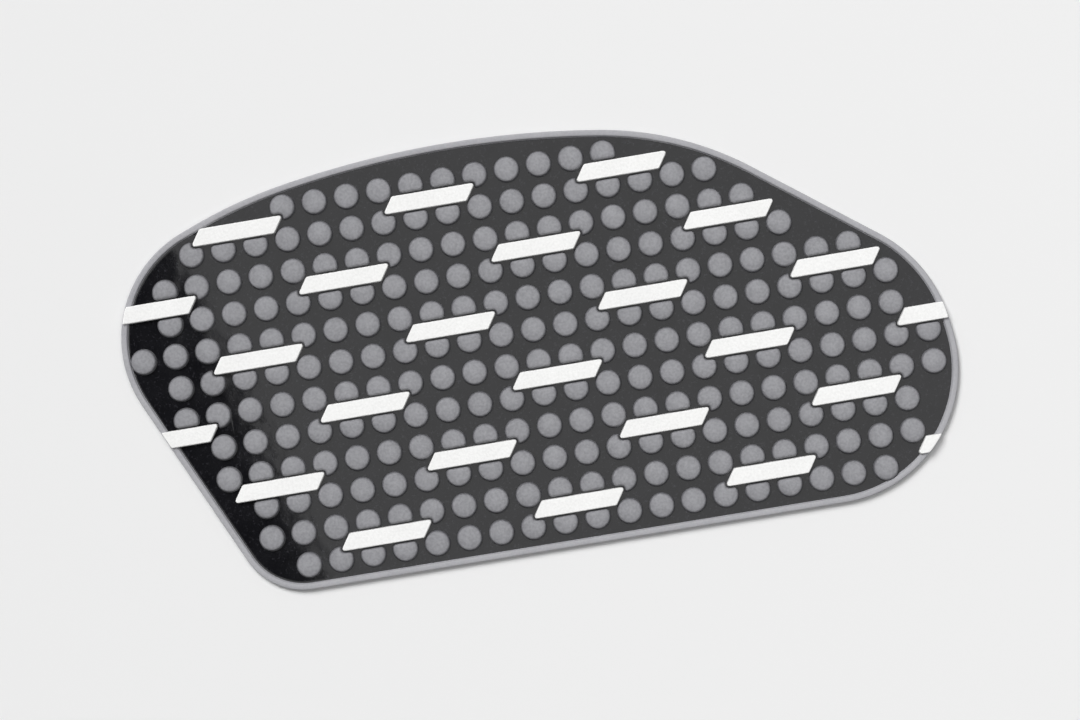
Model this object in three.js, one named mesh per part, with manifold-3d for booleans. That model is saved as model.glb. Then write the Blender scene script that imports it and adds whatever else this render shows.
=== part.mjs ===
// Motorcycle tank pad: one soft moulding, stuck by its back to the side of the tank, for the knee to grip.
// A thin sheet carries a low rim all round, a square grid of studs, and slanted bars in staggered rows.
// Millimetres. X runs along the rows of studs, Y up the pad and Z out of its face; the back is at Z = 0.

import * as THREE from "three";
import { mergeVertices } from "three/addons/utils/BufferGeometryUtils.js";
import Module from "manifold-3d";

// Edge of the pad: the x and y of each corner before rounding, and its radius, anticlockwise
const edgeCorners = [
  [-108, -73.5, 24], // bottom left
  [153, -75, 48], // bottom right
  [142.5, 5, 50], // right end, where the top edge starts to climb
  [62, 66, 114], // right shoulder
  [-22, 79, 348], // crest of the top edge
  [-97.5, 67, 178], // left shoulder
  [-161, 42, 43], // tip on the left
];

// Sheet and rim
const sheetThickness = 1.4;
const rimWidth = 2.5;
const rimRise = 1.0; // above the sheet
const rimBevel = 0.4; // on both edges of the rim's crown

// Studs, on a square grid
const studPitch = 11.5;
const studShoulderRadius = 4.4;
const studDraft = 0.3; // the foot's radius is this much more than the shoulder's
const studShoulderHeight = 1.6; // above the sheet
const studCrownHeight = 0.45; // of the low crown above the shoulder
const studSides = 8;
const studIntoRim = 0.4; // a stud that would run further into the rim is left out

// Bars, each centred between four studs and leaning to the right
const barLength = 30; // between the middles of its slanted ends
const barWidth = 6;
const barSlant = 4; // how far each end runs sideways over the width
const barHeight = 2.1; // above the sheet
const barCornerRadius = 0.8;
const barBevel = 0.35; // round its top
const barMoat = 0.55; // between a bar and the studs it cuts
const barShortest = 3; // a bar that the pad's edge would cut shorter is left out

// Places of the bars, in grid pitches: along a row, and from a row to the next
const barStep = 6;
const barRowShift = 3;
const barRowRise = 2;
const patternX = 5; // a bar's centre, from the origin of the edge's corners
const patternY = -12.9;

const root = 0.6; // how deep studs and bars start inside the sheet, so that they are one with it
const arcTolerance = 0.12; // how far a facet may lie off a round stretch
const weldDistance = 0.001;

const wasm = await Module();
wasm.setup();

const studFootRadius = studShoulderRadius + studDraft;
// An upright prism that ends above and below everything, for cutting
const cutBottom = -root;
const cutTop = sheetThickness + rimRise + studShoulderHeight + studCrownHeight + barHeight;

// Corner i of an outline: heading of the side into it, its turn, and how far back its arc starts
function cornerTurn(corners, i) {
  const [before, corner, after] = [-1, 0, 1].map((step) => corners.at((i + step) % corners.length));
  const heading = Math.atan2(corner[1] - before[1], corner[0] - before[0]);
  const outward = Math.atan2(after[1] - corner[1], after[0] - corner[0]);
  const turn = Math.atan2(Math.sin(outward - heading), Math.cos(outward - heading));
  const radius = corner[2];
  return { heading, turn, reach: radius * Math.tan(turn / 2) };
}

// The corners with radii that fit: where two arcs would meet on a side, both get smaller
function fittedCorners(corners) {
  const count = corners.length;
  const reaches = corners.map((corner, i) => Math.abs(cornerTurn(corners, i).reach));
  const spare = corners.map((corner, i) => {
    const after = corners[(i + 1) % count];
    const side = Math.hypot(after[0] - corner[0], after[1] - corner[1]);
    return side / (reaches[i] + reaches[(i + 1) % count]);
  });
  return corners.map(([x, y, radius], i) => [x, y, radius * Math.min(1, spare[i], spare.at(i - 1))]);
}

// The loop of points round the rounded corners, moved inwards by inset. Every inset gives as many points.
function roundedLoop(corners, inset = 0) {
  const fitted = fittedCorners(corners);
  return fitted.flatMap(([x, y, radius], i) => {
    const { heading, turn, reach } = cornerTurn(fitted, i);
    const side = new THREE.Vector2(Math.cos(heading), Math.sin(heading));
    const centre = new THREE.Vector2(x, y)
      .addScaledVector(side, -reach)
      .add(new THREE.Vector2(-side.y, side.x).multiplyScalar(radius));
    const facetTurn = 2 * Math.acos(1 - Math.min(1, arcTolerance / radius));
    const facets = Math.max(1, Math.ceil(Math.abs(turn) / facetTurn));
    return Array.from({ length: facets + 1 }, (_, step) => {
      const angle = heading - Math.PI / 2 + (turn * step) / facets;
      return new THREE.Vector2(Math.cos(angle), Math.sin(angle)).multiplyScalar(radius - inset).add(centre);
    });
  });
}

// A closed skin through rings that have as many points each, with flat ends
function loft(rings) {
  const count = rings[0].loop.length;
  const positions = rings.flatMap(({ loop, z }) => loop.flatMap(({ x, y }) => [x, y, z]));
  const index = [];
  for (let ring = 0; ring < rings.length - 1; ring += 1) {
    for (let i = 0; i < count; i += 1) {
      const a = ring * count + i;
      const b = ring * count + ((i + 1) % count);
      index.push(a, b, b + count, a, b + count, a + count);
    }
  }
  const last = (rings.length - 1) * count;
  for (const [a, b, c] of THREE.ShapeUtils.triangulateShape(rings[0].loop, [])) index.push(a, c, b);
  for (const [a, b, c] of THREE.ShapeUtils.triangulateShape(rings.at(-1).loop, [])) {
    index.push(last + a, last + b, last + c);
  }
  const geometry = new THREE.BufferGeometry();
  geometry.setAttribute("position", new THREE.Float32BufferAttribute(positions, 3));
  geometry.setIndex(index);
  return geometry;
}

// A solid for joining and cutting, from a closed geometry
function toSolid(geometry) {
  geometry.deleteAttribute("normal");
  geometry.deleteAttribute("uv");
  const welded = mergeVertices(geometry, weldDistance);
  const corners = welded.index.array;
  const kept = [];
  for (let i = 0; i < corners.length; i += 3) {
    const triangle = corners.slice(i, i + 3);
    if (new Set(triangle).size === 3) kept.push(...triangle);
  }
  const vertProperties = new Float32Array(welded.attributes.position.array);
  return new wasm.Manifold(new wasm.Mesh({ numProp: 3, vertProperties, triVerts: new Uint32Array(kept) }));
}

function joined(solids) {
  return solids.reduce((all, solid) => all.add(solid));
}

// The sheet with its rim, from the back, up the outer wall, over the crown and down to the floor inside
function traySolid() {
  const crown = sheetThickness + rimRise;
  return toSolid(
    loft([
      { loop: roundedLoop(edgeCorners), z: 0 },
      { loop: roundedLoop(edgeCorners), z: crown - rimBevel },
      { loop: roundedLoop(edgeCorners, rimBevel), z: crown },
      { loop: roundedLoop(edgeCorners, rimWidth - rimBevel), z: crown },
      { loop: roundedLoop(edgeCorners, rimWidth), z: sheetThickness },
    ]),
  );
}

// How far a point lies inside a loop, and less than 0 outside it
function depthInside(x, y, loop) {
  let nearest = Infinity;
  let inside = false;
  loop.forEach((a, i) => {
    const b = loop[(i + 1) % loop.length];
    const side = b.clone().sub(a);
    const share = ((x - a.x) * side.x + (y - a.y) * side.y) / side.lengthSq();
    const foot = a.clone().addScaledVector(side, Math.min(1, Math.max(0, share)));
    nearest = Math.min(nearest, Math.hypot(x - foot.x, y - foot.y));
    const crosses = a.y > y !== b.y > y && x < a.x + ((y - a.y) * side.x) / side.y;
    if (crosses) inside = !inside;
  });
  return inside ? nearest : -nearest;
}

// Every crossing of the grid near the pad, or with half = 0.5 the middle of every square:
// its place in pitches from the pattern's origin, and its x and y
function gridPlaces(edge, half) {
  const box = new THREE.Box2().setFromPoints(edge);
  const origin = new THREE.Vector2(patternX, patternY);
  const first = box.min.sub(origin).divideScalar(studPitch).floor();
  const last = box.max.sub(origin).divideScalar(studPitch).ceil();
  const places = [];
  for (let up = first.y; up <= last.y; up += 1) {
    for (let across = first.x; across <= last.x; across += 1) {
      const x = patternX + (across + half) * studPitch;
      const y = patternY + (up + half) * studPitch;
      places.push({ across, up, x, y });
    }
  }
  return places;
}

// One stud at the origin of the sheet's face: a tapered wall and a low crown that rises to its middle
function studGeometry() {
  const profile = [
    new THREE.Vector2(0, -root),
    new THREE.Vector2(studFootRadius, -root),
    new THREE.Vector2(studShoulderRadius, studShoulderHeight),
    new THREE.Vector2(0, studShoulderHeight + studCrownHeight),
  ];
  const turned = new THREE.LatheGeometry(profile, studSides, Math.PI / studSides);
  return turned.rotateX(Math.PI / 2);
}

// The whole studs that the rim leaves room for
function studSolid(edge) {
  const rimFoot = roundedLoop(edgeCorners, rimWidth);
  const stud = studGeometry();
  const places = gridPlaces(edge, 0.5).filter(
    ({ x, y }) => depthInside(x, y, rimFoot) >= studShoulderRadius - studIntoRim,
  );
  return joined(places.map(({ x, y }) => toSolid(stud.clone().translate(x, y, sheetThickness))));
}

// A bar's outline round its centre, or the outline of the room it takes among the studs
function barLoop(x, y, grown, inset = 0) {
  const halfWidth = barWidth / 2 + grown;
  const lean = (barSlant / barWidth) * halfWidth;
  const halfLength = barLength / 2 + grown * Math.hypot(1, barSlant / barWidth);
  const radius = barCornerRadius + grown;
  const corners = [
    [x - halfLength - lean, y - halfWidth, radius],
    [x + halfLength - lean, y - halfWidth, radius],
    [x + halfLength + lean, y + halfWidth, radius],
    [x - halfLength + lean, y + halfWidth, radius],
  ];
  return roundedLoop(corners, inset);
}

// The centres of the bars that show. They run over the rim and end at the outer edge of its crown.
function barPlaces(edge, crownEdge) {
  return gridPlaces(edge, 0).filter(({ across, up, x, y }) => {
    const row = up / barRowRise;
    const along = (across - barRowShift * row) / barStep;
    const shown = barLength / 2 - barShortest;
    const depths = [-shown, 0, shown].map((offset) => depthInside(x + offset, y, crownEdge));
    return Number.isInteger(row) && Number.isInteger(along) && Math.max(...depths) > 0;
  });
}

function barSolid({ x, y }) {
  const top = sheetThickness + barHeight;
  return toSolid(
    loft([
      { loop: barLoop(x, y, 0), z: sheetThickness - root },
      { loop: barLoop(x, y, 0), z: top - barBevel },
      { loop: barLoop(x, y, 0, barBevel), z: top },
    ]),
  );
}

function moatSolid({ x, y }) {
  const loop = barLoop(x, y, barMoat);
  return toSolid(loft([{ loop, z: cutBottom }, { loop, z: cutTop }]));
}

// The whole pad, with the middle of its back at the origin
function padGeometry() {
  const edge = roundedLoop(edgeCorners);
  const crownEdge = roundedLoop(edgeCorners, rimBevel);
  const places = barPlaces(edge, crownEdge);
  const insideCrown = toSolid(loft([{ loop: crownEdge, z: cutBottom }, { loop: crownEdge, z: cutTop }]));
  const studs = studSolid(edge).subtract(joined(places.map(moatSolid)));
  const bars = joined(places.map(barSolid)).intersect(insideCrown);
  const pad = traySolid().add(studs).add(bars).getMesh();
  const middle = new THREE.Box2().setFromPoints(edge).getCenter(new THREE.Vector2());
  const geometry = new THREE.BufferGeometry();
  geometry.setAttribute("position", new THREE.BufferAttribute(pad.vertProperties, pad.numProp));
  geometry.setIndex(new THREE.BufferAttribute(pad.triVerts, 1));
  return geometry.translate(-middle.x, -middle.y, 0);
}

const rubber = new THREE.MeshStandardMaterial({
  color: "#3f3e42",
  roughness: 0.45,
  metalness: 0,
  flatShading: true,
});
const tankPad = new THREE.Mesh(padGeometry(), rubber);
tankPad.name = "tank_pad";

const part = new THREE.Group();
part.name = "motorcycle_tank_pad";
part.add(tankPad);

export default part;
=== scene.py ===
import functools
import math

import bmesh
import bpy
import numpy as np
from mathutils import Matrix, Vector


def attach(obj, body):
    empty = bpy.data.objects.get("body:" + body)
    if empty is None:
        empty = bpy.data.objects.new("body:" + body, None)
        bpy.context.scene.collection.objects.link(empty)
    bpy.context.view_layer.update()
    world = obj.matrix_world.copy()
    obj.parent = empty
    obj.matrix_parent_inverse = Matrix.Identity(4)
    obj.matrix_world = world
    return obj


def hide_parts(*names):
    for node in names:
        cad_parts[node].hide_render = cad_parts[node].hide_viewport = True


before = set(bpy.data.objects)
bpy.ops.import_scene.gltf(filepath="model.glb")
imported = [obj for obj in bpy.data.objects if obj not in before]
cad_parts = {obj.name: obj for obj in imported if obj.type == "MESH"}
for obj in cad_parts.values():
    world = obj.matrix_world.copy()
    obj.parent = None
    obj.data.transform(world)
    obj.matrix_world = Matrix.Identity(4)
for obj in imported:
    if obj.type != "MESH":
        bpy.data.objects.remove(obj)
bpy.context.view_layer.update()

# A stick-on knee grip for a motorcycle's tank, laid on its back with the studs up.
# The shape is worked out in millimetres, as the mould is drawn, and made in metres.
mm = 0.001

# The sheet that everything stands on, and its edge: x, y and radius of each corner, anticlockwise
sheet = {
    "corners": [
        (-108, -73.5, 24),
        (153, -75, 48),
        (142.5, 5, 50),
        (62, 66, 114),
        (-22, 79, 348),
        (-97.5, 67, 178),
        (-161, 42, 43),
    ],
    "thickness": 1.4,
    "backRound": 0.25,
    "boxTolerance": 0.12,    # the CAD outline's facets lie this far off its arcs
    "tolerance": 0.012,
}

# The bead round the edge
rim = {
    "width": 2.5,
    "rise": 1.0,
    "shoulderDrop": 0.14,    # its crown is this much higher in the middle
    "crownRound": 3.0,
    "outerRound": 0.6,
    "innerRound": 0.5,
    "footRound": 0.35,
    "wallIn": 0.1,           # keeps the rounded wall inside the CAD outline
    "wallLean": 0.08,
    "innerLean": 0.35,       # the inner side runs this much outwards on its way up
    "crownEdge": 0.4,        # the bars end here
    "backFrom": 1.0,         # the back's skin runs this far in before its flat middle
    "floorTo": 0.9,          # and the face's this far past the rim's foot
    "tolerance": 0.008,      # of the section's rounds
}

# Where studs and bars stand: studs in the middles of a square grid's squares, and a bar on every sixth
# crossing of every second row, with each of these rows three crossings on from the one below
grid = {
    "x": 5,
    "y": -12.9,
    "pitch": 11.5,
    "barStep": 6,
    "rowShift": 3,
    "rowRise": 2,
    "reach": 16,             # squares each way that are looked through for places on the pad
}

# One stud
stud = {
    "radius": 4.5,           # halfway up its draft
    "height": 1.6,
    "crown": 0.45,
    "draft": 0.2,
    "footRound": 0.18,
    "edgeRound": 0.85,
    "edgeFacets": 4,
    "cutRound": 0.9,         # in plan, where a bar's moat cuts it
    "roomAtRim": 4.0,        # a stud whose centre is nearer than this to the rim's foot is left out
    "sides": 28,
    "cutSides": 36,
    "crownRings": (0.68, 0.36),    # shares of the crown's reach from its middle to its edge
}

# One bar
bar = {
    "length": 30,
    "width": 6,
    "slant": 4,
    "height": 2.1,
    "cornerRadius": 0.8,
    "moat": 0.55,
    "draft": 0.1,
    "footRound": 0.15,
    "edgeRound": 0.34,
    "edgeFacets": 3,
    "cutRound": 0.5,         # in plan, where the pad's edge cuts it
    "shortest": 3,           # a bar of which less than this would show is left out
    "sides": 48,
}

root = 0.3         # how far studs and bars start inside the sheet
sink = 0.01        # how far under its face their feet run out, for a clean join
weld = 0.0005      # points nearer to each other than this are one
sharpFrom = 50     # degrees; edges that turn less are shaded smooth

# How the outlines of studs and bars are traced
tracing = {
    "rays": 900,             # round the eye that sees all of an outline
    "halvings": 22,          # of a ray, to find where it meets the outline
    "slides": 5,             # towards the wanted level of a distance field
    "slopeStep": 0.004,
    "eyeStep": 0.25,         # between the points tried for the eye
    "middleWeight": 0.01,    # how much a place near the middle counts for the eye
    "cornerWeight": 2.2,     # of a turn of one radian, as a length
}

# The finishes, in the order of every mesh's material slots
finishes = ["sheet", "stud", "rim", "bar", "back"]


# Heading of the side into corner i of a closed outline, and how far the outline turns there
def turnAt(corners, i):
    (ax, ay, _), (bx, by, _), (cx, cy, _) = corners[i - 1], corners[i], corners[(i + 1) % len(corners)]
    heading = math.atan2(by - ay, bx - ax)
    return heading, math.remainder(math.atan2(cy - by, cx - bx) - heading, math.tau)


# Where the arcs of two corners would meet on a side, both radii come down
def fitCorners(corners):
    count = len(corners)
    reach = [radius * math.tan(turnAt(corners, i)[1] / 2) for i, (_, _, radius) in enumerate(corners)]
    spare = []
    for i in range(count):
        side = math.dist(corners[i][:2], corners[(i + 1) % count][:2])
        spare.append(side / (reach[i] + reach[(i + 1) % count]))
    return [(x, y, radius * min(1, spare[i], spare[i - 1])) for i, (x, y, radius) in enumerate(corners)]


# The arc at corner i, moved in by inset
def cornerArc(corners, i, inset, tolerance):
    x, y, radius = corners[i]
    heading, turn = turnAt(corners, i)
    forward = np.array([math.cos(heading), math.sin(heading)])
    left = np.array([-forward[1], forward[0]]) * math.copysign(1, turn)
    centre = np.array([x, y]) - forward * radius * abs(math.tan(turn / 2)) + left * radius
    facets = max(1, math.ceil(abs(turn) / (2 * math.acos(1 - min(1, tolerance / radius)))))
    angle = math.atan2(-left[1], -left[0]) + turn * np.arange(facets + 1) / facets
    return centre + (radius - inset) * np.stack([np.cos(angle), np.sin(angle)], axis=1)


def roundedLoop(corners, inset=0, tolerance=sheet["tolerance"]):
    fitted = fitCorners(corners)
    arcs = [cornerArc(fitted, i, inset, tolerance) for i in range(len(fitted))]
    return np.concatenate(arcs)


# An open line with its inner corners rounded, for a section
def roundedPath(corners, tolerance):
    arcs = [cornerArc(corners, i, 0, tolerance) for i in range(1, len(corners) - 1)]
    return np.concatenate([[corners[0][:2]], *arcs, [corners[-1][:2]]])


# Signed distance of points to a convex anticlockwise loop, less than 0 inside it
def distanceTo(points, loop):
    side = np.roll(loop, -1, axis=0) - loop
    kept = (side ** 2).sum(axis=1) > 1e-12
    start, side = loop[kept], side[kept]
    away = points[:, None] - start
    share = np.clip((away * side).sum(axis=2) / (side ** 2).sum(axis=1), 0, 1)
    gap = np.linalg.norm(away - share[..., None] * side, axis=2).min(axis=1)
    outside = (away[..., 0] * side[:, 1] - away[..., 1] * side[:, 0]).max(axis=1) > 0
    return np.where(outside, gap, -gap)


# The greater of two distances, rounded where they are alike
def roundedMax(a, b, radius):
    corner = np.hypot(np.maximum(a + radius, 0), np.maximum(b + radius, 0))
    return np.minimum(np.maximum(a, b), -radius) + corner


# Points along a loop, closer together where it turns
def evenedOut(loop, count):
    step = np.roll(loop, -1, axis=0) - loop
    heading = np.arctan2(step[:, 1], step[:, 0])
    turn = np.roll(heading, -1) - heading
    turn = np.abs((turn + math.pi) % math.tau - math.pi)
    length = np.linalg.norm(step, axis=1) + tracing["cornerWeight"] * turn
    along = np.concatenate([[0], np.cumsum(length)])
    wanted = np.linspace(0, along[-1], count, endpoint=False)
    closed = np.vstack([loop, loop[:1]])
    return np.stack([np.interp(wanted, along, closed[:, axis]) for axis in (0, 1)], axis=1)


# Where rays from an eye inside reach a level of a distance field
def reachAlong(field, eye, rays, level):
    near, far = np.zeros(len(rays)), np.ones(len(rays))
    for _ in range(tracing["halvings"]):
        middle = (near + far) / 2
        inside = field(eye + middle[:, None] * rays) < level
        near, far = np.where(inside, middle, near), np.where(inside, far, middle)
    return eye + near[:, None] * rays


# The outline where a distance field is 0, which is nowhere further than reach from the eye
def traceOutline(field, eye, reach, count):
    angle = np.linspace(0, math.tau, tracing["rays"], endpoint=False)
    rays = reach * np.stack([np.cos(angle), np.sin(angle)], axis=1)
    return evenedOut(reachAlong(field, eye, rays, 0), count)


def slopeOf(field, points):
    step = tracing["slopeStep"]
    slopeX = (field(points + (step, 0)) - field(points - (step, 0))) / (2 * step)
    slopeY = (field(points + (0, step)) - field(points - (0, step))) / (2 * step)
    return np.stack([slopeX, slopeY], axis=1)


# The same points slid across the outline until the field has the wanted level there
def slidTo(field, points, level):
    for _ in range(tracing["slides"]):
        slope = slopeOf(field, points)
        miss = field(points) - level
        points = points - (miss / (slope ** 2).sum(axis=1))[:, None] * slope
    return points


# The point inside that sees all of an outline best, near the middle where several see it as well.
# The shape lies between -halfX and halfX, and between -halfY and halfY.
def seeingPoint(field, halfX, halfY):
    step = tracing["eyeStep"]
    across, up = (np.arange(-half, half + step, step) for half in (halfX, halfY))
    spread = np.stack(np.meshgrid(across, up), axis=-1).reshape(-1, 2)
    value = field(spread)
    edge, inside = spread[np.abs(value) < step], spread[value < 0]
    margin = ((edge - inside[:, None]) * slopeOf(field, edge)).sum(axis=2).min(axis=1)
    return inside[(margin - tracing["middleWeight"] * np.linalg.norm(inside, axis=1)).argmax()]


# Section of a raised shape's side: level of the field and height, from inside the sheet up to the top
def sideSection(shape, footFacets=2):
    quarter = math.pi / 2
    half, foot, edge = shape["draft"] / 2, shape["footRound"], shape["edgeRound"]
    shoulder = shape["height"] - edge
    outer = half + foot
    section = [(outer, -root), (outer, -sink)]
    for k in range(1, footFacets + 1):
        angle = quarter * k / footFacets
        section.append((outer - foot * math.sin(angle), foot * (1 - math.cos(angle))))
    for k in range(shape["edgeFacets"] + 1):
        angle = quarter * k / shape["edgeFacets"]
        section.append((-half - edge * (1 - math.cos(angle)), shoulder + edge * math.sin(angle)))
    return section


# A closed skin through rings with as many points each; a last ring of one point closes it to a tip
def loft(rings, strips, bottom, top):
    count = len(rings[0])
    faces, finish = [], []
    for k, name in enumerate(strips):
        tip = len(rings[k + 1]) == 1
        for i in range(count):
            a, b = k * count + i, k * count + (i + 1) % count
            faces.append((a, b, (k + 1) * count) if tip else (a, b, b + count, a + count))
            finish.append(finishes.index(name))
    faces.append(tuple(reversed(range(count))))
    finish.append(finishes.index(bottom))
    if len(rings[-1]) > 1:
        last = (len(rings) - 1) * count
        faces.append(tuple(range(last, last + count)))
        finish.append(finishes.index(top))
    return np.concatenate(rings), faces, finish


def atHeight(loop, height):
    return np.column_stack([loop, np.broadcast_to(height, len(loop))])


# Outline of a bar round its middle, or of the moat round it
def barLoop(grown):
    half = bar["width"] / 2 + grown
    lean = bar["slant"] / bar["width"] * half
    reach = bar["length"] / 2 + grown * math.hypot(1, bar["slant"] / bar["width"])
    radius = bar["cornerRadius"] + grown
    corners = [(-reach - lean, -half), (reach - lean, -half), (reach + lean, half), (-reach + lean, half)]
    return roundedLoop([(x, y, radius) for x, y in corners])


# All crossings of the grid near the pad, or with half = 0.5 the middles of its squares
def gridPlaces(half):
    spread = range(-grid["reach"], grid["reach"] + 1)
    for up in spread:
        for across in spread:
            x = grid["x"] + (across + half) * grid["pitch"]
            y = grid["y"] + (up + half) * grid["pitch"]
            yield across, up, np.array([x, y])


# Bars of which enough stands within the rim's crown
def barPlaces(crownLoop):
    shown = bar["length"] / 2 - bar["shortest"]
    reach = np.array([(-shown, 0), (0, 0), (shown, 0)])
    places = []
    for across, up, middle in gridPlaces(0):
        row, odd = divmod(up, grid["rowRise"])
        onGrid = odd == 0 and (across - grid["rowShift"] * row) % grid["barStep"] == 0
        if onGrid and distanceTo(middle + reach, crownLoop).min() < 0:
            places.append(middle)
    return places


# Studs with enough room to the rim's foot
def studPlaces(rimFoot):
    middles = [middle for _, _, middle in gridPlaces(0.5)]
    room = -distanceTo(np.array(middles), rimFoot)
    return [middle for middle, depth in zip(middles, room) if depth >= stud["roomAtRim"]]


# One stud round its middle, whole or with the moat of a bar at offset cut out of it
@functools.lru_cache(maxsize=None)
def studRings(offset):
    sides, moat = stud["sides"], None
    if offset:
        sides, moat = stud["cutSides"], barLoop(bar["moat"]) + offset

    def field(points):
        value = np.linalg.norm(points, axis=1) - stud["radius"]
        return value if moat is None else roundedMax(value, -distanceTo(points, moat), stud["cutRound"])

    def domed(loop, height):
        bulge = stud["crown"] * (1 - (np.linalg.norm(loop, axis=1) / stud["radius"]) ** 2)
        return atHeight(loop, height + bulge * max(height, 0) / stud["height"])

    eye = seeingPoint(field, stud["radius"], stud["radius"])
    across = 2.2 * stud["radius"]     # more than from the eye to any side
    outline = traceOutline(field, eye, across, sides)
    rays = 1.5 * (outline - eye)      # past the round of the foot, which lies outside the outline
    rings = [domed(reachAlong(field, eye, rays, level), height) for level, height in sideSection(stud)]
    shoulder = rings[-1][:, :2]
    for share in stud["crownRings"]:
        rings.append(domed(eye + share * (shoulder - eye), stud["height"]))
    rings.append(domed(eye[None], stud["height"]))
    return rings


# One bar round its middle, cut by the crown's loop where that runs through it
def barRings(crownLoop):
    outline = barLoop(0)
    whole = distanceTo(outline, crownLoop).max() < 0

    def field(points):
        value = distanceTo(points, outline)
        return value if whole else roundedMax(value, distanceTo(points, crownLoop), bar["cutRound"])

    halfX, halfY = np.abs(outline).max(axis=0)
    eye = seeingPoint(field, halfX, halfY)
    outer = traceOutline(field, eye, 2 * halfX, bar["sides"])
    return [atHeight(slidTo(field, outer, level), height) for level, height in sideSection(bar)]


# The sheet with its rim: round the back's edge, up the wall, over the bead and down to the floor
def trayRings():
    crown = sheet["thickness"] + rim["rise"]
    shoulder = crown - rim["shoulderDrop"]
    rimFrom = sheet["thickness"] + 0.1     # its own colour starts a little above the sheet's face
    wall, lean = rim["wallIn"], rim["wallLean"]
    section = [
        (rim["backFrom"], 0, 0),
        (wall, 0, sheet["backRound"]),
        (wall + lean, shoulder, rim["outerRound"]),
        (rim["width"] / 2, crown, rim["crownRound"]),
        (rim["width"] - rim["innerLean"], shoulder, rim["innerRound"]),
        (rim["width"], sheet["thickness"], rim["footRound"]),
        (rim["width"] + rim["floorTo"], sheet["thickness"], 0),
    ]
    path = roundedPath(section, rim["tolerance"])
    rings = [atHeight(roundedLoop(sheet["corners"], inset), height) for inset, height in path]
    strips = []
    for height in np.maximum(path[:-1, 1], path[1:, 1]):
        if height < weld:
            strips.append("back")
        else:
            strips.append("rim" if height > rimFrom else "sheet")
    return loft(rings, strips, "back", "sheet")


# A mesh object in metres from a list of (points, faces, finish) in millimetres
def meshObject(name, parts, materials):
    points, faces, finish = [], [], []
    for partPoints, partFaces, partFinish in parts:
        start = sum(len(p) for p in points)
        points.append(partPoints)
        faces.extend(tuple(start + i for i in face) for face in partFaces)
        finish.extend(partFinish)
    mesh = bpy.data.meshes.new(name)
    mesh.from_pydata((np.concatenate(points) * mm).tolist(), [], faces)
    mesh.polygons.foreach_set("material_index", finish)
    for material in materials:
        mesh.materials.append(material)
    work = bmesh.new()
    work.from_mesh(mesh)
    bmesh.ops.remove_doubles(work, verts=work.verts, dist=weld * mm)
    work.to_mesh(mesh)
    work.free()
    piece = bpy.data.objects.new(name, mesh)
    bpy.context.collection.objects.link(piece)
    return piece


# One solid of several, with each face's finish kept
def joinSolids(base, others):
    for other in others:
        union = base.modifiers.new("join", "BOOLEAN")
        union.operation = "UNION"
        union.solver = "MANIFOLD"
        union.object = other
    view = bpy.context.evaluated_depsgraph_get()
    joined = bpy.data.meshes.new_from_object(base.evaluated_get(view))
    base.modifiers.clear()
    base.data = joined
    for other in others:
        bpy.data.objects.remove(other)


# A stud or a bar at its place. Its own colour starts halfway up the round of its foot.
def raisedSolid(rings, name, shape, middle):
    moved = [ring + (*middle, sheet["thickness"]) for ring in rings]
    strips = [name if high[:, 2].max() > shape["footRound"] / 2 else "sheet" for high in rings[1:]]
    return loft(moved, strips, "sheet", name)


# One stud at its place, cut by the moat of the nearest bar where that reaches it
def studAt(middle, bars):
    offsets = np.array(bars) - middle
    gaps = distanceTo(-offsets, barLoop(bar["moat"]))
    nearest = gaps.argmin()
    isCut = gaps[nearest] < stud["radius"]
    offset = tuple(np.round(offsets[nearest], 3).tolist()) if isCut else None
    return raisedSolid(studRings(offset), "stud", stud, middle)


# A flat map to bake through, the face in its upper half and the back in its lower half
def flatMap(mesh):
    points = np.empty((len(mesh.vertices), 3))
    mesh.vertices.foreach_get("co", points.ravel())
    corners = np.empty(len(mesh.loops), dtype=np.int32)
    mesh.loops.foreach_get("vertex_index", corners)
    downwards = [polygon.normal.z < -0.5 for polygon in mesh.polygons for _ in polygon.vertices]
    span = 1.04 * np.ptp(points[:, 0])     # leaves a margin round each half
    places = points[corners, :2] / span + (0.5, 0.75)
    places[np.array(downwards), 1] -= 0.5
    mesh.uv_layers.new(name="OFBake").uv.foreach_set("vector", places.ravel())


# The middle of the CAD outline's box, which is the part's origin
def boxCentre():
    outline = roundedLoop(sheet["corners"], 0, sheet["boxTolerance"])
    return (outline.min(axis=0) + outline.max(axis=0)) / 2


def buildPad(materials):
    crownLoop = roundedLoop(sheet["corners"], rim["crownEdge"])
    rimFoot = roundedLoop(sheet["corners"], rim["width"], sheet["boxTolerance"])
    bars = barPlaces(crownLoop)
    studs = studPlaces(rimFoot)
    print("studs:", len(studs), "bars:", len(bars))

    studParts = [studAt(middle, bars) for middle in studs]
    barParts = [raisedSolid(barRings(crownLoop - middle), "bar", bar, middle) for middle in bars]
    pad = meshObject("moulded_pad", [trayRings()], materials)
    studSolids = meshObject("studs", studParts, materials)
    barSolids = meshObject("bars", barParts, materials)
    joinSolids(pad, [studSolids, barSolids])
    pad.data.transform(Matrix.Translation((*(-boxCentre() * mm), 0)))
    pad.data.shade_smooth()
    pad.data.set_sharp_from_angle(angle=math.radians(sharpFrom))
    even = pad.modifiers.new("even shading", "WEIGHTED_NORMAL")
    even.keep_sharp = True
    flatMap(pad.data)
    return pad


# A colour written as sRGB hex, turned to linear
def linear(hexColour):
    channels = [int(hexColour[i:i + 2], 16) / 255 for i in (1, 3, 5)]
    return [c / 12.92 if c <= 0.04045 else ((c + 0.055) / 1.055) ** 2.4 for c in channels] + [1]


# Adds a node with its settings; an input is a value or the socket that it is linked from
def addNode(tree, kind, inputs=None, **settings):
    node = tree.nodes.new(kind)
    for name, value in settings.items():
        setattr(node, name, value)
    for socket, value in (inputs or {}).items():
        if isinstance(value, bpy.types.NodeSocket):
            tree.links.new(value, node.inputs[socket])
        else:
            node.inputs[socket].default_value = value
    return node


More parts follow.
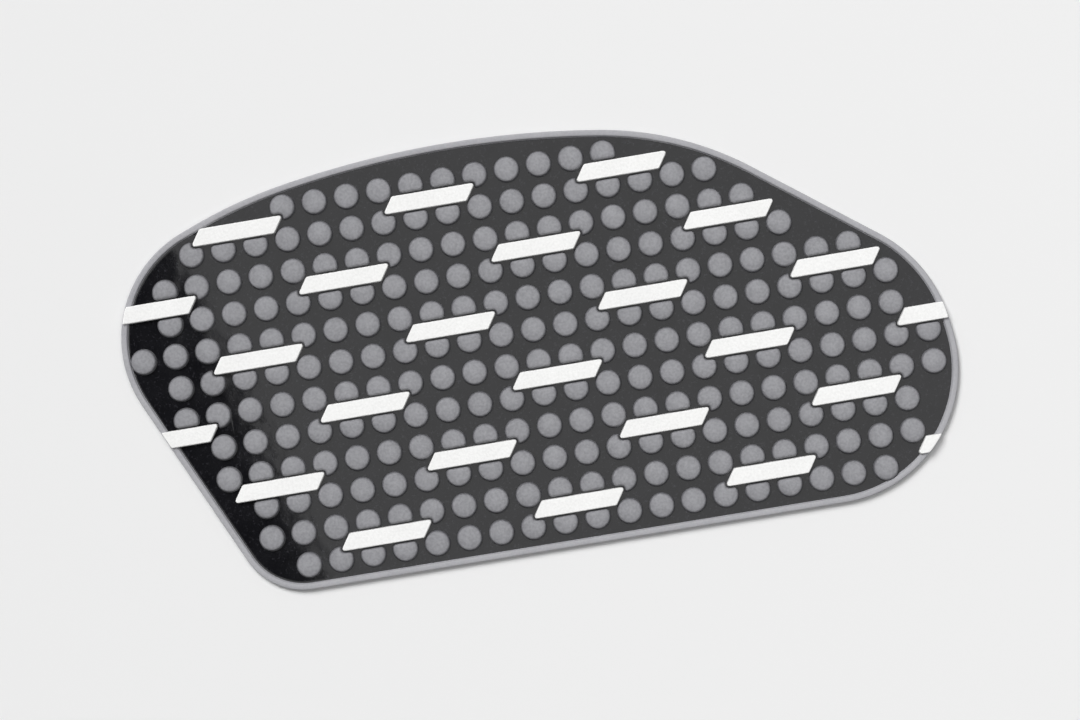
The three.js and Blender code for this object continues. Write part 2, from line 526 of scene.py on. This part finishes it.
def newMaterial(name):
    material = bpy.data.materials.new(name)
    material.use_nodes = True
    material.node_tree.nodes.clear()
    return material


# The three noises of a finish: detail and roughness of each
noises = {"cloud": (4.0, 0.55), "grain": (2.0, 0.6), "wave": (1.0, 0.5)}
cloudSpan = (0.3, 0.7)     # nearly all of a cloud's values lie between these


# A moulded finish. Its tone goes from dark to light with the specks of its grain, with soft clouds and,
# for some finishes, with the height above the back: painted shade low down and painted light higher up.
# Its face has the grain and long waves.
# Sizes, depths and heights are in mm; specks, clouds and the painted shading end with how far they take
# the tone.
def mouldedFinish(name, look):
    material = newMaterial(name)
    tree = material.node_tree
    place = addNode(tree, "ShaderNodeTexCoord").outputs["Object"]
    noise = {}
    for kind, (detail, roughness) in noises.items():
        noise[kind] = addNode(tree, "ShaderNodeTexNoise", {
            "Vector": place, "Scale": 1 / (look[kind] * mm), "Detail": detail, "Roughness": roughness,
        }).outputs["Fac"]

    tones = [(noise["grain"], *look["specks"]), (noise["cloud"], *cloudSpan, look["cloudy"])]
    # Painted shade and light: the tone lightens with height, so sides come out darker and tops lighter
    if "paintedShadingByHeight" in look:
        height = addNode(tree, "ShaderNodeSeparateXYZ", {"Vector": place}).outputs["Z"]
        low, high, most = look["paintedShadingByHeight"]
        tones.append((height, low * mm, high * mm, most))
    lightness = 0.0
    for value, low, high, most in tones:
        share = addNode(tree, "ShaderNodeMapRange", {
            "Value": value, "From Min": low, "From Max": high, "To Min": 0.0, "To Max": most,
        }).outputs["Result"]
        lightness = addNode(tree, "ShaderNodeMath", {0: lightness, 1: share}, operation="ADD").outputs[0]
    colour = addNode(tree, "ShaderNodeMix", {
        "Factor": lightness, "A": linear(look["dark"]), "B": linear(look["light"]),
    }, data_type="RGBA").outputs["Result"]

    waves = addNode(tree, "ShaderNodeBump", {
        "Height": noise["wave"], "Strength": 1.0, "Distance": look["waveDepth"] * mm,
    }).outputs["Normal"]
    relief = addNode(tree, "ShaderNodeBump", {
        "Height": noise["grain"], "Strength": 1.0, "Distance": look["grainDepth"] * mm, "Normal": waves,
    }).outputs["Normal"]
    smoothest, roughest = look["roughness"]
    rough = addNode(tree, "ShaderNodeMapRange", {
        "Value": noise["cloud"], "From Min": cloudSpan[0], "From Max": cloudSpan[1],
        "To Min": smoothest, "To Max": roughest,
    }).outputs["Result"]
    shader = addNode(tree, "ShaderNodeBsdfPrincipled", {
        "Base Color": colour, "Roughness": rough, "Normal": relief, "Metallic": 0.0, "IOR": look["ior"],
    })
    addNode(tree, "ShaderNodeOutputMaterial", {"Surface": shader.outputs["BSDF"]})
    return material


# Black TPU pressed on a polished face: deep black with a hard gloss that mirrors the panel in long
# waves, and a little dust. Real dust is finer; it is drawn at 0.9 mm so that it shows.
def sheetRubber():
    return mouldedFinish("black TPU, moulded on a polished face", {
        "dark": "#101013", "light": "#3c3c41",
        "cloud": 9.0, "cloudy": 0.1, "specks": (0.58, 0.74, 0.5),
        "grain": 0.9, "grainDepth": 0.002, "wave": 7.0, "waveDepth": 0.02,
        "roughness": (0.04, 0.06), "ior": 1.54,
    })


# Grey TPE from a spark-eroded mould: a low sheen on fine pits. Its tone is painted lighter towards the
# crowns and darker down the sides, a painted shading of the domes.
# The pits of such a face are about 0.1 mm wide, and are drawn at 0.9 mm so that they show.
def studRubber():
    return mouldedFinish("grey TPE, moulded on an eroded face", {
        "dark": "#5a5a5e", "light": "#9e9ea2",
        # painted shading by height: painted shade on the sides, painted light on the crowns
        "cloud": 6.0, "cloudy": 0.16, "specks": (0.35, 0.65, 0.28), "paintedShadingByHeight": (2.1, 3.45, 0.62),
        "grain": 0.9, "grainDepth": 0.1, "wave": 4.0, "waveDepth": 0.05,
        "roughness": (0.34, 0.42), "ior": 1.5,
    })


# The same grey TPE off a smoother part of the mould: a soft satin, painted lighter along the top of the
# bead as a painted highlight.
# Its grain is a few hundredths of a millimetre wide, and is drawn at 0.7 mm so that it shows.
def rimRubber():
    return mouldedFinish("grey TPE, moulded smooth", {
        "dark": "#9c9ca1", "light": "#b9b9bc",
        # painted shading by height: a painted highlight along the top of the bead
        "cloud": 8.0, "cloudy": 0.3, "specks": (0.35, 0.65, 0.3), "paintedShadingByHeight": (1.6, 2.4, 0.2),
        "grain": 0.7, "grainDepth": 0.03, "wave": 6.0, "waveDepth": 0.03,
        "roughness": (0.4, 0.48), "ior": 1.5,
    })


# White TPE from the same eroded face: matt and clean on top, with painted shade that makes it a touch
# greyer down its sides.
# Its pits are drawn at 0.9 mm too.
def barRubber():
    return mouldedFinish("white TPE, moulded on an eroded face", {
        "dark": "#ebebea", "light": "#fefefd",
        # painted shading by height: painted shade down the sides
        "cloud": 8.0, "cloudy": 0.25, "specks": (0.35, 0.65, 0.45), "paintedShadingByHeight": (1.6, 3.4, 0.3),
        "grain": 0.9, "grainDepth": 0.09, "wave": 5.0, "waveDepth": 0.04,
        "roughness": (0.5, 0.58), "ior": 1.5,
    })


# Acrylic adhesive behind a polyester film: a dark, wet-looking sheen with the slow waves of a rolled
# film, and the orange peel of the adhesive, about 1.4 mm wide
def backFilm():
    return mouldedFinish("acrylic adhesive on polyester film", {
        "dark": "#27272a", "light": "#3c3c40",
        "cloud": 14.0, "cloudy": 0.7, "specks": (0.4, 0.7, 0.3),
        "grain": 1.4, "grainDepth": 0.01, "wave": 9.0, "waveDepth": 0.06,
        "roughness": (0.28, 0.38), "ior": 1.47,
    })


# Painted board that the pad lies on, matt and pale, which takes a soft shadow without a sheen.
# Round it stands a world of pale walls under a dim ceiling.
studio = {
    "floor": "#efefef",
    "floorRadius": 14,
    "walls": 0.32,
    "ceiling": 0.02,
    "wallTop": 0.5,          # the walls fade to the ceiling between these rises of the direction
    "ceilingFrom": 0.9,
}


def buildStudio():
    mesh = bpy.data.meshes.new("floor")
    shape = bmesh.new()
    bmesh.ops.create_circle(shape, cap_ends=True, radius=studio["floorRadius"], segments=64)
    shape.to_mesh(mesh)
    shape.free()
    floor = bpy.data.objects.new("floor", mesh)
    floor.location.z = -0.1 * mm
    bpy.context.collection.objects.link(floor)
    material = newMaterial("matt painted board")
    tree = material.node_tree
    shader = addNode(tree, "ShaderNodeBsdfPrincipled", {
        "Base Color": linear(studio["floor"]), "Roughness": 0.85, "Specular IOR Level": 0.2,
    })
    addNode(tree, "ShaderNodeOutputMaterial", {"Surface": shader.outputs["BSDF"]})
    mesh.materials.append(material)

    world = bpy.data.worlds.new("studio")
    world.use_nodes = True
    bpy.context.scene.world = world
    tree = world.node_tree
    tree.nodes.clear()
    towards = addNode(tree, "ShaderNodeTexCoord").outputs["Generated"]
    height = addNode(tree, "ShaderNodeSeparateXYZ", {"Vector": towards}).outputs["Z"]
    level = addNode(tree, "ShaderNodeMapRange", {
        "Value": height, "From Min": studio["wallTop"], "From Max": studio["ceilingFrom"],
        "To Min": studio["walls"], "To Max": studio["ceiling"],
    }, interpolation_type="SMOOTHSTEP")
    sky = addNode(tree, "ShaderNodeBackground", {
        "Color": (1, 1, 1, 1), "Strength": level.outputs["Result"],
    })
    addNode(tree, "ShaderNodeOutputWorld", {"Surface": sky.outputs["Background"]})


# A soft key from the top left, and a panel overhead that the gloss of the sheet shows.
# The panel's edge stands where its reflection ends near the pad's left end, as in the photo.
lamps = {
    "key": {"from": (-0.3, 0.57, 0.77), "spread": 30, "strength": 2.5},
    "panel": {"at": (0.63, 0.24, 2.2), "size": (1.9, 2.4), "turn": 15, "power": 15.4},
}


def buildLamps():
    key, panel = lamps["key"], lamps["panel"]
    sun = bpy.data.lights.new("key", "SUN")
    sun.energy = key["strength"]
    sun.angle = math.radians(key["spread"])
    sunHolder = bpy.data.objects.new("key", sun)
    sunHolder.rotation_euler = Vector(key["from"]).to_track_quat("Z", "Y").to_euler()
    sunHolder.visible_glossy = False     # a polarised key, which leaves no glare on the black sheet
    area = bpy.data.lights.new("panel", "AREA")
    area.shape = "RECTANGLE"
    area.size, area.size_y = panel["size"]
    area.energy = panel["power"]
    panelHolder = bpy.data.objects.new("panel", area)
    panelHolder.location = panel["at"]
    panelHolder.rotation_euler.z = math.radians(panel["turn"])
    for holder in (sunHolder, panelHolder):
        bpy.context.collection.objects.link(holder)


# Straight down on the pad, rolled so that the rows of studs rise to the right. The frame is as wide as
# frameWidth, in metres, at the pad.
viewer = {"lens": 120, "sensor": 36, "roll": -9.57, "frameWidth": 0.383}


def buildCamera():
    roll = math.radians(viewer["roll"])
    right = np.array([math.cos(roll), math.sin(roll)])
    up = np.array([-right[1], right[0]])
    outline = (roundedLoop(sheet["corners"]) - boxCentre()) * mm
    middle = [(side.min() + side.max()) / 2 for side in (outline @ right, outline @ up)]
    aim = middle[0] * right + middle[1] * up
    camera = bpy.data.cameras.new("camera")
    camera.lens, camera.sensor_width = viewer["lens"], viewer["sensor"]
    holder = bpy.data.objects.new("camera", camera)
    distance = viewer["frameWidth"] * viewer["lens"] / viewer["sensor"]
    holder.location = (aim[0], aim[1], distance)
    holder.rotation_euler = (0, 0, roll)
    bpy.context.collection.objects.link(holder)
    bpy.context.scene.camera = holder


buildCamera()
print("camera placed")
buildStudio()
buildLamps()
bpy.context.scene.view_settings.view_transform = "Standard"
print("studio lit")
materials = [sheetRubber(), studRubber(), rimRubber(), barRubber(), backFilm()]
print("materials made:", len(materials))
pad = buildPad(materials)
pad.data.calc_loop_triangles()
print("pad built, faces:", len(pad.data.polygons), "triangles:", len(pad.data.loop_triangles))
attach(pad, "root")
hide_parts("tank_pad")
